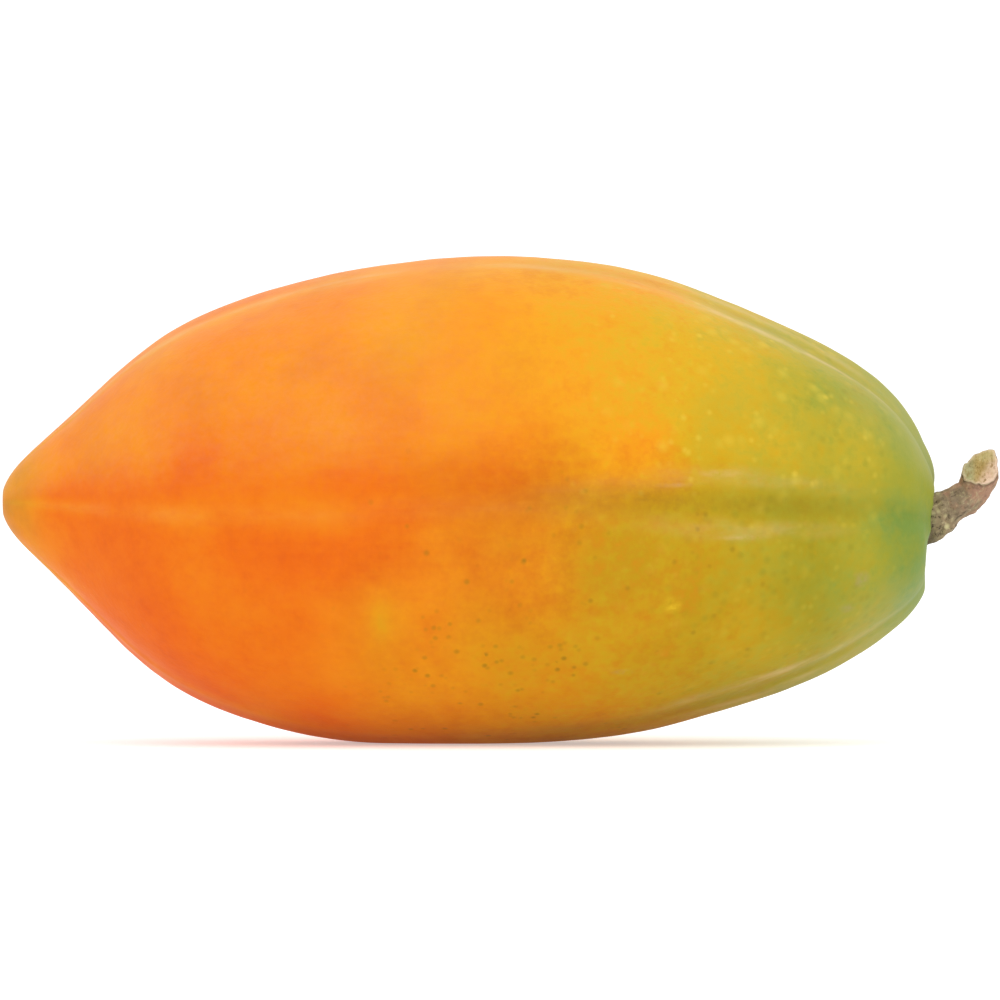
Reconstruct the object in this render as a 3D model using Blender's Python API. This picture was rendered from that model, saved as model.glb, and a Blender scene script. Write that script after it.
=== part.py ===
"""Papaya: a ripe five-lobed fruit lying on its side, with the snapped-off stub of its stalk.

Run with blender --background --python part.py, or from Blender's text editor.
Metres, +Z up. The fruit lies along X, blossom tip at -X and stalk at +X. The origin is under
the middle of the object's box, on the surface that the fruit rests on.
"""

import math

import bmesh
import bpy
import numpy as np
from mathutils import Vector

# Driving dimensions in metres: the fruit without its stalk, its greatest half thickness, the
# stalk's half thickness at its foot, the depth of the resting flat, and the gap between pieces.
FRUIT_LENGTH = 0.270
FRUIT_RADIUS = 0.0712
STALK_FOOT_RADIUS = 0.0065
REST_DEPTH = 0.0009
FIT_GAP = 0.0003

# The sphere that the fruit is shaped from. SEGMENTS is a multiple of twice LOBES, so every
# furrow and every ridge has a row of points of its own.
LOBES = 5
SEGMENTS = 60
RINGS = 44
RING_CROWDING = 0.45

# Half of the fruit's lengthwise section, from the blossom tip round to the floor of the stalk
# pit: share of FRUIT_LENGTH, share of FRUIT_RADIUS.
OUTLINE = (
    (0.000, 0.000),
    (0.008, 0.097),
    (0.035, 0.212),
    (0.085, 0.392),
    (0.135, 0.581),
    (0.195, 0.753),
    (0.270, 0.870),
    (0.350, 0.948),
    (0.430, 0.986),
    (0.515, 1.000),
    (0.600, 0.985),
    (0.685, 0.941),
    (0.770, 0.849),
    (0.850, 0.737),
    (0.915, 0.609),
    (0.960, 0.475),
    (0.986, 0.340),
    (0.9945, 0.250),
    (0.998, 0.150),
    (0.994, 0.070),
    (0.990, 0.000),
)

# Height of the fruit's axis along its length: share of FRUIT_LENGTH, metres.
AXIS_BOW = (
    (0.000, -0.0003),
    (0.150, -0.0018),
    (0.300, -0.0017),
    (0.500, 0.0000),
    (0.650, 0.0000),
    (0.750, -0.0006),
    (0.860, -0.0017),
    (0.920, -0.0020),
    (0.965, -0.0030),
    (1.000, -0.0046),
)

# Depth of the five furrows along the fruit: share of FRUIT_LENGTH, share of the local radius.
FURROW_DEPTH = (
    (0.00, 0.000),
    (0.12, 0.014),
    (0.50, 0.010),
    (0.70, 0.020),
    (0.85, 0.050),
    (0.95, 0.095),
    (1.00, 0.120),
)
FURROW_SHARPNESS = 1.4
UPPER_FURROW_BIAS = 0.30
# How far the upper furrows are turned towards the back, in radians at the very top.
UPPER_FURROW_TURN = 0.075

# The shoulders round the stalk: how far each furrow notches them, how far the upper ones
# stand beyond the lower ones, and where along the fruit both begin, as a share of its length.
SHOULDER_NOTCH = 0.0008
SHOULDER_LEAN = 0.080
SHOULDER_START = 0.988

# The dent in the shoulder under the stalk: its depth, its place and its width, in metres.
UNDER_DENT = 0.0024
UNDER_DENT_RADIUS = 0.0130
UNDER_DENT_WIDTH = 0.0050

# The stalk's path from inside its socket to beyond the break: metres past the stalk pit's
# floor along X, metres towards the back, metres above the pit's centre, share of thickness.
STALK_PATH = (
    (-0.0045, 0.0000, -0.0028, 0.98),
    (0.0024, 0.0000, -0.0001, 0.96),
    (0.0078, 0.0000, 0.0028, 0.80),
    (0.0131, -0.0002, 0.0067, 0.77),
    (0.0157, -0.0009, 0.0118, 0.83),
    (0.0162, -0.0034, 0.0180, 0.83),
    (0.0160, -0.0080, 0.0250, 0.83),
)
# The break: a point in its plane, in the same measures as the path, the way it faces, and the
# side of the block that cuts it.
BREAK_POINT = (0.0161, -0.0010, 0.0141)
BREAK_FACING = (-0.08, -0.74, 0.67)
BREAK_BLOCK = 0.040

SKIN_COLOUR = (0.90, 0.38, 0.07, 1.0)
BARK_COLOUR = (0.33, 0.25, 0.16, 1.0)


def clear_scene():
    for item in list(bpy.data.objects):
        bpy.data.objects.remove(item, do_unlink=True)


def make_collection(name):
    collection = bpy.data.collections.new(name)
    bpy.context.scene.collection.children.link(collection)
    return collection


def make_material(name, colour, roughness, metallic=0.0):
    material = bpy.data.materials.new(name)
    material.use_nodes = True
    shader = material.node_tree.nodes["Principled BSDF"]
    shader.inputs["Base Color"].default_value = colour
    shader.inputs["Roughness"].default_value = roughness
    shader.inputs["Metallic"].default_value = metallic
    return material


def cubic(points, at, start_slope=0.0, end_slope=0.0):
    """Clamped cubic spline through (place, value) points, with continuous slope and bend."""
    place, value = np.array(points, dtype=float).T
    step = np.diff(place)
    rise = np.diff(value) / step
    system = np.diag(np.concatenate(([2 * step[0]], 2 * (step[:-1] + step[1:]), [2 * step[-1]])))
    system += np.diag(step, 1) + np.diag(step, -1)
    slopes = np.concatenate(([start_slope], rise, [end_slope]))
    bend = np.linalg.solve(system, 6 * np.diff(slopes))
    span = np.clip(np.searchsorted(place, at) - 1, 0, len(step) - 1)
    far = (at - place[span]) / step[span]
    near = 1 - far
    pull = (near**3 - near) * bend[span] + (far**3 - far) * bend[span + 1]
    return near * value[span] + far * value[span + 1] + pull * step[span] ** 2 / 6


def outline_at(share):
    """Lengthwise place and radius at a share, 0 to 1, of the way along the outline."""
    corners = np.array(OUTLINE) * (FRUIT_LENGTH, FRUIT_RADIUS)
    way = np.concatenate(([0.0], np.cumsum(np.hypot(*np.diff(corners, axis=0).T))))
    at = share * way[-1]
    along = cubic(np.column_stack((way, corners[:, 0])), at)
    radius = cubic(np.column_stack((way, corners[:, 1])), at, 1.0, -1.0)
    return along, radius


def smooth_step(value, start, end):
    share = np.clip((value - start) / (end - start), 0.0, 1.0)
    return share * share * (3 - 2 * share)


def fruit_surface(share, angle):
    """Point of the skin at a share of the outline and an angle round the axis.

    The outline is carried round the bowed axis. Five furrows lessen its radius, and notch the
    shoulders round the stalk, which lean and are dented under it. Angle 0 is the front (-Y), a
    quarter turn is the top.
    """
    along, radius = outline_at(share)
    length_share = along / FRUIT_LENGTH
    turned = angle - UPPER_FURROW_TURN * np.maximum(np.sin(angle), 0.0) ** 2
    furrow = ((1 + np.cos(LOBES * turned)) / 2) ** FURROW_SHARPNESS
    furrow = furrow * (1 + UPPER_FURROW_BIAS * np.sin(angle))
    radius = radius * (1 - cubic(FURROW_DEPTH, length_share) * furrow)
    shoulder = smooth_step(length_share, SHOULDER_START, 1.0)
    rise = radius * np.sin(angle)
    notch = SHOULDER_NOTCH * furrow * np.minimum(radius / STALK_FOOT_RADIUS, 3.0) / 3.0
    under = np.exp(-(((radius - UNDER_DENT_RADIUS) / UNDER_DENT_WIDTH) ** 2))
    dent = UNDER_DENT * under * smooth_step(-np.sin(angle), 0.2, 0.9)
    x = along + shoulder * (SHOULDER_LEAN * rise - notch - dent)
    z = cubic(AXIS_BOW, length_share) + rise
    return x, -radius * np.cos(angle), z


def add_object(name, mesh, material, collection, parent):
    item = bpy.data.objects.new(name, mesh)
    item.data.materials.append(material)
    item.parent = parent
    collection.objects.link(item)
    return item


def make_fruit(material, collection, parent):
    """A sphere whose points are carried onto the fruit's surface, its poles on tip and pit."""
    shape = bmesh.new()
    bmesh.ops.create_uvsphere(shape, u_segments=SEGMENTS, v_segments=RINGS, radius=1.0)
    ball = np.array([point.co[:] for point in shape.verts])
    polar = np.arccos(np.clip(-ball[:, 2], -1.0, 1.0)) / math.pi
    share = polar - RING_CROWDING * np.sin(2 * math.pi * polar) / (2 * math.pi)
    angle = np.arctan2(ball[:, 1], -ball[:, 0])
    for point, place in zip(shape.verts, np.column_stack(fruit_surface(share, angle))):
        point.co = place
    bmesh.ops.recalc_face_normals(shape, faces=shape.faces)
    mesh = bpy.data.meshes.new("fruit")
    shape.to_mesh(mesh)
    shape.free()
    mesh.shade_smooth()
    return add_object("fruit", mesh, material, collection, parent)


def stalk_origin():
    """Where the stalk's measures start: the middle of the stalk pit's floor."""
    along, _ = outline_at(np.array([1.0]))
    height = cubic(AXIS_BOW, along / FRUIT_LENGTH)
    return Vector((along[0], 0.0, height[0]))


def stalk_path():
    """The stalk's middle line as (point, thickness share) pairs."""
    origin = stalk_origin()
    return [(origin + Vector(point), share) for *point, share in STALK_PATH]


def make_tube(name, path, radius, collection, parent):
    """A round bar along a path of (point, thickness share), made a welded mesh."""
    curve = bpy.data.curves.new(name, "CURVE")
    curve.dimensions = "3D"
    curve.bevel_depth = radius
    curve.bevel_resolution = 5
    curve.resolution_u = 4
    curve.use_fill_caps = True
    spline = curve.splines.new("BEZIER")
    spline.bezier_points.add(len(path) - 1)
    for knot, (point, thickness) in zip(spline.bezier_points, path):
        knot.co = point
        knot.radius = thickness
        knot.handle_left_type = "AUTO"
        knot.handle_right_type = "AUTO"
    guide = bpy.data.objects.new(name + "_guide", curve)
    collection.objects.link(guide)
    bpy.context.view_layer.update()
    evaluated = guide.evaluated_get(bpy.context.evaluated_depsgraph_get())
    mesh = bpy.data.meshes.new_from_object(evaluated)
    shape = bmesh.new()
    shape.from_mesh(mesh)
    bmesh.ops.remove_doubles(shape, verts=shape.verts, dist=0.00001)
    bmesh.ops.recalc_face_normals(shape, faces=shape.faces)
    shape.to_mesh(mesh)
    shape.free()
    mesh.materials.clear()
    item = bpy.data.objects.new(name, mesh)
    item.matrix_world = guide.matrix_world
    item.parent = parent
    collection.objects.link(item)
    bpy.data.objects.remove(guide, do_unlink=True)
    return item


def make_stalk(material, collection, parent):
    """The stalk's stub: a bent tapering bar that flares into its foot."""
    stalk = make_tube("stem", stalk_path(), STALK_FOOT_RADIUS, collection, parent)
    stalk.data.materials.append(material)
    stalk.data.shade_smooth()
    return stalk


def make_box_cutter(name, size, collection, parent):
    shape = bmesh.new()
    bmesh.ops.create_cube(shape, size=size)
    mesh = bpy.data.meshes.new(name)
    shape.to_mesh(mesh)
    shape.free()
    cutter = bpy.data.objects.new(name, mesh)
    cutter.parent = parent
    collection.objects.link(cutter)
    return cutter


def mark_cutter(cutter):
    cutter.hide_render = True
    cutter.display_type = "WIRE"


def cut(item, cutter):
    modifier = item.modifiers.new("cut_" + cutter.name, "BOOLEAN")
    modifier.operation = "DIFFERENCE"
    modifier.solver = "EXACT"
    modifier.object = cutter
    mark_cutter(cutter)


def cut_rest_face(fruit, collection, parent):
    """The small flat spot under the belly that the fruit lies on."""
    lowest = min(point.co.z for point in fruit.data.vertices)
    cutter = make_box_cutter("rest_cutter", FRUIT_LENGTH, collection, parent)
    middle = FRUIT_LENGTH / 2
    cutter.location = (middle, 0.0, lowest + REST_DEPTH - middle)
    cut(fruit, cutter)


def cut_socket(fruit, collection, parent):
    """The socket that the stalk's foot grows out of, wider than the foot by the fit gap."""
    path = stalk_path()
    start, thickness = path[0]
    inward = (start - path[1][0]).normalized()
    path[0] = (start + inward * FIT_GAP, thickness)
    cutter = make_tube("socket_cutter", path, STALK_FOOT_RADIUS + FIT_GAP, collection, parent)
    cut(fruit, cutter)


def cut_break(stalk, collection, parent):
    """The slanting face where the stalk was snapped off."""
    cutter = make_box_cutter("break_cutter", BREAK_BLOCK, collection, parent)
    facing = Vector(BREAK_FACING).normalized()
    cutter.rotation_mode = "QUATERNION"
    cutter.rotation_quaternion = facing.to_track_quat("Z", "Y")
    cutter.location = stalk_origin() + Vector(BREAK_POINT) + facing * BREAK_BLOCK / 2
    cut(stalk, cutter)


def world_box(items):
    bpy.context.view_layer.update()
    graph = bpy.context.evaluated_depsgraph_get()
    corners = [
        item.evaluated_get(graph).matrix_world @ Vector(corner)
        for item in items
        for corner in item.evaluated_get(graph).bound_box
    ]
    low = Vector(min(corner[axis] for corner in corners) for axis in range(3))
    high = Vector(max(corner[axis] for corner in corners) for axis in range(3))
    return low, high


def main():
    clear_scene()
    parts = make_collection("papaya")
    cutters = make_collection("cutters")
    placing = bpy.data.objects.new("papaya_placing", None)
    parts.objects.link(placing)

    skin = make_material("papaya_skin", SKIN_COLOUR, roughness=0.42)
    bark = make_material("stalk_bark", BARK_COLOUR, roughness=0.85)
    fruit = make_fruit(skin, parts, placing)
    stalk = make_stalk(bark, parts, placing)
    cut_rest_face(fruit, cutters, placing)
    cut_socket(fruit, cutters, placing)
    cut_break(stalk, cutters, placing)

    low, high = world_box((fruit, stalk))
    placing.location = (-(low.x + high.x) / 2, -(low.y + high.y) / 2, -low.z)


main()
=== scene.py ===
"""Papaya: the looks of a ripe five-lobed fruit lying on its side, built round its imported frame.

Metres, +Z up. The fruit lies along X, blossom tip at -X and stalk at +X, its front facing -Y.
"""
import math

import bpy
import numpy as np
from bpy.props import FloatProperty, FloatVectorProperty, IntProperty, PointerProperty
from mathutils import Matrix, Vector


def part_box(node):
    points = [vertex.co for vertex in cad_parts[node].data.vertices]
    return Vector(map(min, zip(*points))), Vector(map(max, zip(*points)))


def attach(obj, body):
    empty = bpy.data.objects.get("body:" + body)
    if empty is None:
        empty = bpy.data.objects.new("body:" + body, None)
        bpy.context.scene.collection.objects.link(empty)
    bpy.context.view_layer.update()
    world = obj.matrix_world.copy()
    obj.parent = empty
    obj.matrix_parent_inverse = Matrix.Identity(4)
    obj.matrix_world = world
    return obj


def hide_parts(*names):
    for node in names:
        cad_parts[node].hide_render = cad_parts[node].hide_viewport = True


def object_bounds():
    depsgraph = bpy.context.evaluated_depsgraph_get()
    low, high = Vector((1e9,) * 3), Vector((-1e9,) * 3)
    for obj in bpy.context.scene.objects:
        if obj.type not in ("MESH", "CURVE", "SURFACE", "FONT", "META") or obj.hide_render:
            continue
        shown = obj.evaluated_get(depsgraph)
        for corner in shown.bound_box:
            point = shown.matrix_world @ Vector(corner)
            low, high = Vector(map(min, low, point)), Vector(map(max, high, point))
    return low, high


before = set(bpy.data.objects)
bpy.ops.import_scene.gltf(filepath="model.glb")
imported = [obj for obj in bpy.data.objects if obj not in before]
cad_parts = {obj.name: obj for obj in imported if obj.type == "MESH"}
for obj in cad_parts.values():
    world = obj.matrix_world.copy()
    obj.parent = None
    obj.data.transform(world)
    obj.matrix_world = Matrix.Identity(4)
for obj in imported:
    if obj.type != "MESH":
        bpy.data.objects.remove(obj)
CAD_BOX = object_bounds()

bl_info = {
    "name": "Papaya",
    "version": (1, 0, 0),
    "blender": (4, 5, 0),
    "location": "View3D > Sidebar > Papaya",
    "description": "Makes a whole ripe papaya with its stalk stub, and a plain stage for it",
    "category": "Add Mesh",
}

FULL_TURN = 2 * math.pi
LOBES = 5

# Half of the fruit's lengthwise section, from the blossom tip round to the floor of the stalk
# pit: share of the fruit's length, share of its radius.
OUTLINE = (
    (0.000, 0.000), (0.008, 0.097), (0.035, 0.212), (0.085, 0.392),
    (0.135, 0.581), (0.195, 0.753), (0.270, 0.870), (0.350, 0.948),
    (0.430, 0.986), (0.515, 1.000), (0.600, 0.985), (0.685, 0.941),
    (0.770, 0.849), (0.850, 0.737), (0.915, 0.609), (0.960, 0.475),
    (0.986, 0.340), (0.9945, 0.250), (0.998, 0.150), (0.994, 0.070),
    (0.990, 0.000),
)

# Height of the fruit's axis along its length: share of the length, metres.
AXIS_BOW = (
    (0.000, -0.0003), (0.150, -0.0018), (0.300, -0.0017), (0.500, 0.0000),
    (0.650, 0.0000), (0.750, -0.0006), (0.860, -0.0017), (0.920, -0.0020),
    (0.965, -0.0030), (1.000, -0.0046),
)

# Depth of the five furrows along the fruit: share of the length, share of the local radius.
FURROW_DEPTH = (
    (0.00, 0.000), (0.12, 0.014), (0.50, 0.010), (0.70, 0.020),
    (0.85, 0.050), (0.95, 0.095), (1.00, 0.120),
)
# How steep the furrows' sides are, and how much deeper than the lower ones the upper ones are.
FURROW_SHARPNESS = 1.4
UPPER_FURROW_BIAS = 0.30
# How far the upper furrows are turned back at the very top, and how far all wander, in radians.
UPPER_FURROW_TURN = 0.075
FURROW_WANDER = 0.020

# The narrow crease along the bottom of each furrow: share of the length, metres deep; and how
# wide it is, in radians round the fruit.
CREASE_DEPTH = (
    (0.00, 0.0000), (0.45, 0.0000), (0.65, 0.0002), (0.80, 0.0004),
    (0.93, 0.0006), (1.00, 0.0002),
)
CREASE_TURN = 0.085
# The fine raised seam that runs from the blossom tip along the bottom of each furrow.
SEAM_HEIGHT = (
    (0.00, 0.0000), (0.04, 0.0002), (0.20, 0.0002), (0.42, 0.0001),
    (0.50, 0.0000), (1.00, 0.0000),
)
SEAM_TURN = 0.045
SEAM_BED_TURN = 0.170

# The shoulders round the stalk: how far each furrow notches them, how far they lean, and where
# along the fruit both begin.
SHOULDER_NOTCH = 0.0008
SHOULDER_LEAN = 0.080
SHOULDER_START = 0.988

# The dent in the shoulder under the stalk: its depth, its place and its width, in metres.
UNDER_DENT = 0.0024
UNDER_DENT_RADIUS = 0.0130
UNDER_DENT_WIDTH = 0.0050

# The puckers round the stalk, and the dimple of the scar on the blossom tip.
PUCKER_HEIGHT = 0.00012
SCAR_DEPTH = 0.0009
SCAR_WIDTH = 0.0022

# Smooth noise: width in metres, height, seed. Swellings and grain are metres high, lumps are
# shares of the foot's half thickness.
SWELLINGS = ((0.080, 0.00022, 11), (0.028, 0.00005, 12), (0.009, 0.00002, 13))
PATCH_WARP = ((0.050, 0.012, 21), (0.015, 0.006, 22))
BARK_LUMPS = ((0.0070, 0.030, 31), (0.0026, 0.014, 32))
BREAK_GRAIN = ((0.0030, 0.00028, 33), (0.0011, 0.00012, 34))

# The stalk's middle line from inside the fruit to beyond the break: metres past the stalk pit's
# floor along X, metres towards the back, metres above the pit's centre, share of thickness.
STALK_PATH = (
    (-0.0045, 0.0000, -0.0028, 0.98),
    (0.0024, 0.0000, -0.0001, 0.96),
    (0.0078, 0.0000, 0.0028, 0.80),
    (0.0131, -0.0002, 0.0067, 0.77),
    (0.0157, -0.0009, 0.0118, 0.83),
    (0.0162, -0.0034, 0.0180, 0.83),
    (0.0160, -0.0080, 0.0250, 0.83),
)
# The plane of the break: a point on it, measured as the path is, the way it faces, and the
# distances along the stalk between which it is looked for.
BREAK_POINT = (0.0161, -0.0010, 0.0141)
BREAK_FACING = (-0.08, -0.74, 0.67)
BREAK_START = 0.018
BREAK_REACH = 0.045
# How the broken rim stands out from that plane: degrees round the stalk from its front by way
# of the fruit's side, width in radians, metres further along the stalk.
BREAK_RIM = (
    (222, 0.50, 0.0021),
    (305, 0.45, -0.0006),
    (142, 0.40, -0.0009),
    (24, 0.40, 0.0011),
    (4, 0.25, 0.0006),
    (332, 0.25, -0.0005),
    (70, 0.30, 0.0004),
    (100, 0.20, 0.0003),
    (262, 0.12, -0.0003),
)
BREAK_DISH = 0.0006
# The bark's paint is laid out on a straight tube, and the broken face's paint past its end.
BARK_TUBE = 0.005
FACE_PLACE = (0.03, 0.0, 0.0)

# How far the skin has turned along its upper and its lower side: share of the length, ripeness
# above and ripeness below, from 0, leaf green, to 1, red-orange.
RIPENESS = (
    (0.00, 0.70, 0.74),
    (0.06, 0.75, 0.83),
    (0.16, 0.75, 0.90),
    (0.27, 0.76, 0.85),
    (0.37, 0.72, 0.80),
    (0.48, 0.66, 0.71),
    (0.59, 0.60, 0.60),
    (0.70, 0.50, 0.52),
    (0.80, 0.35, 0.38),
    (0.88, 0.25, 0.28),
    (0.94, 0.21, 0.20),
    (1.00, 0.14, 0.05),
)
# Patches that have turned further or less far than the skin round them: share of the length,
# degrees up from the front, half length as a share, half width in degrees, added ripeness.
PATCHES = (
    (0.05, 6, 0.04, 16, 0.07),
    (0.20, 12, 0.025, 6, 0.06),
    (0.34, -11, 0.06, 9, 0.10),
    (0.37, 6, 0.045, 5, 0.08),
    (0.47, -2, 0.07, 13, 0.12),
    (0.57, 7, 0.08, 11, 0.19),
    (0.66, 8, 0.05, 9, 0.04),
    (0.47, 24, 0.07, 10, 0.06),
    (0.942, -11, 0.022, 14, 0.03),
    (0.985, -30, 0.018, 14, -0.04),
    (0.80, 27, 0.05, 10, 0.05),
    (0.80, 8, 0.03, 12, 0.05),
    (0.69, 16, 0.03, 8, 0.09),
    (0.50, -17, 0.07, 9, 0.05),
    (0.60, -38, 0.06, 10, -0.05),
    (0.69, 70, 0.05, 14, 0.05),
    (0.59, 27, 0.04, 10, 0.04),
    (0.42, -28, 0.022, 6, -0.17),
    (0.47, -52, 0.13, 20, -0.07),
    (0.93, 19, 0.045, 11, 0.05),
    (0.962, -5, 0.024, 13, -0.12),
    (0.885, 46, 0.035, 9, -0.08),
    (0.82, 50, 0.03, 9, 0.05),
    (0.30, 150, 0.18, 22, 0.10),
    (0.55, 200, 0.14, 18, 0.08),
    (0.66, 120, 0.10, 16, -0.08),
    (0.45, 255, 0.16, 20, 0.07),
)
# How dull the lower flank is: share of the length, strength.
DULLNESS = (
    (0.00, 0.30), (0.05, 0.00), (0.40, 0.08), (0.48, 0.32),
    (0.59, 0.70), (0.70, 0.95), (0.80, 0.84), (0.88, 0.65),
    (0.94, 0.15), (1.00, 0.00),
)
# The skin's colours by ripeness.
RIPENESS_STOPS = (
    (0.03, "leaf"), (0.18, "olive"), (0.32, "lime"), (0.46, "yellow"),
    (0.60, "gold"), (0.74, "orange"), (0.88, "deep_orange"), (1.00, "blush"),
)
# Where specks gather: share of the length, degrees up from the front; and half sizes there.
SPECK_CLUSTERS = ((0.444, -43), (0.535, -40), (0.600, -41))
CLUSTER_SIZES = (0.011, 0.020, 0.009)
# Scratches, scuffs and a spot: place as above, half sizes, strength, colour.
SKIN_MARKS = (
    ((0.790, -8.5), (0.0150, 0.005, 0.0013), 0.24, "wear_and_highlight"),
    ((0.770, 9.5), (0.0120, 0.005, 0.0016), 0.20, "wear_and_highlight"),
    ((0.720, 5.5), (0.0080, 0.005, 0.0012), 0.14, "wear_and_highlight"),
    ((0.665, -45.0), (0.0045, 0.005, 0.0012), 0.35, "scuff"),
    ((0.920, -28.0), (0.0040, 0.005, 0.0035), 0.40, "scuff"),
    ((0.905, -39.0), (0.0035, 0.005, 0.0020), 0.30, "scuff"),
    ((0.717, -26.0), (0.0038, 0.006, 0.0034), 1.00, "yellow_spot"),
)
# Width of the camera's frame against the object's length.
FRAME_MARGIN = 1.002


def cubic(points, at, start_slope=0.0, end_slope=0.0):
    """Clamped cubic spline through (place, value) points, with continuous slope and bend."""
    place, value = np.array(points, dtype=float).T
    step = np.diff(place)
    rise = np.diff(value) / step
    system = np.diag(np.concatenate(([2 * step[0]], 2 * (step[:-1] + step[1:]), [2 * step[-1]])))
    system += np.diag(step, 1) + np.diag(step, -1)
    slopes = np.concatenate(([start_slope], rise, [end_slope]))
    bend = np.linalg.solve(system, 6 * np.diff(slopes))
    span = np.clip(np.searchsorted(place, at) - 1, 0, len(step) - 1)
    far = (at - place[span]) / step[span]
    near = 1 - far
    pull = (near**3 - near) * bend[span] + (far**3 - far) * bend[span + 1]
    return near * value[span] + far * value[span + 1] + pull * step[span] ** 2 / 6


def smooth_step(value, start, end):
    """0 before start, 1 past end, and a smooth rise between them."""
    share = np.clip((value - start) / (end - start), 0.0, 1.0)
    return share * share * (3 - 2 * share)


def bell(value, width):
    """1 at zero, falling off evenly on both sides over about this width."""
    return np.exp(-((value / width) ** 2))


def ripples(points, width, seed, count=28):
    """Smooth noise of about unit height: the sum of many plane waves in random directions."""
    draw = np.random.default_rng(seed)
    waves = draw.normal(size=(count, 3))
    waves *= FULL_TURN / width / np.linalg.norm(waves, axis=1, keepdims=True)
    waves *= draw.uniform(0.6, 1.3, size=(count, 1))
    phases = draw.uniform(0.0, FULL_TURN, size=count)
    return np.sin(points @ waves.T + phases).sum(axis=-1) / math.sqrt(count / 2)


def unevenness(points, waves):
    """The sum of the ripples that these (width, height, seed) describe."""
    return sum(height * ripples(points, width, seed) for width, height, seed in waves)


def grid_normals(points):
    """Outward unit normals of a grid whose rows are rings, from its differences both ways."""
    lengthwise = np.gradient(points, axis=0)
    around = np.roll(points, -1, axis=1) - np.roll(points, 1, axis=1)
    normal = np.cross(lengthwise, around)
    return normal / np.linalg.norm(normal, axis=-1, keepdims=True)


def closed_mesh(name, rings, start, end, attributes):
    """A closed mesh from rings of points, a pole at each end, with a value per point for each
    attribute. Faces look outwards where the rings run clockwise seen along their order."""
    count, around = rings.shape[:2]
    points = np.concatenate((rings.reshape(-1, 3), [start, end]))
    row = np.arange(count - 1)[:, None] * around
    here = np.arange(around)[None, :]
    following = (here + 1) % around
    corners = (row + here, row + following, row + around + following, row + around + here)
    quads = np.stack(corners, axis=-1).reshape(-1, 4)
    first, last = here[0], (count - 1) * around + here[0]
    start_fan = np.stack((np.full(around, count * around), following[0], first), axis=-1)
    last_next = (count - 1) * around + following[0]
    end_fan = np.stack((np.full(around, count * around + 1), last, last_next), axis=-1)
    faces = quads.tolist() + start_fan.tolist() + end_fan.tolist()
    mesh = bpy.data.meshes.new(name)
    mesh.from_pydata(points, [], faces)
    for title, (grid, at_start, at_end) in attributes.items():
        values = np.asarray(grid, dtype=np.float32)
        width = values.shape[2] if values.ndim == 3 else 1
        flat = np.concatenate(
            (values.reshape(-1, width), np.reshape((at_start, at_end), (2, width)))
        )
        kind, field = ("FLOAT_VECTOR", "vector") if width == 3 else ("FLOAT", "value")
        layer = mesh.attributes.new(title, kind, "POINT")
        layer.data.foreach_set(field, flat.astype(np.float32).ravel())
    mesh.shade_smooth()
    mesh.validate()
    return mesh


class Socket:
    """An output of a shader tree. Arithmetic on it adds Math nodes to the tree."""

    def __init__(self, sheet, output):
        self.sheet = sheet
        self.output = output

    def math(self, operation, first, second=0.0):
        return self.sheet.node("ShaderNodeMath", {"operation": operation}, {0: first, 1: second})

    def __add__(self, other):
        return self.math("ADD", self, other)

    __radd__ = __add__

    def __sub__(self, other):
        return self.math("SUBTRACT", self, other)

    def __rsub__(self, other):
        return self.math("SUBTRACT", other, self)

    def __mul__(self, other):
        return self.math("MULTIPLY", self, other)

    __rmul__ = __mul__

    def __abs__(self):
        return self.math("ABSOLUTE", self)


def opaque(colour):
    """A colour with its alpha of 1. A socket stays as it is."""
    return colour if isinstance(colour, Socket) else (*colour[:3], 1.0)


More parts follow.
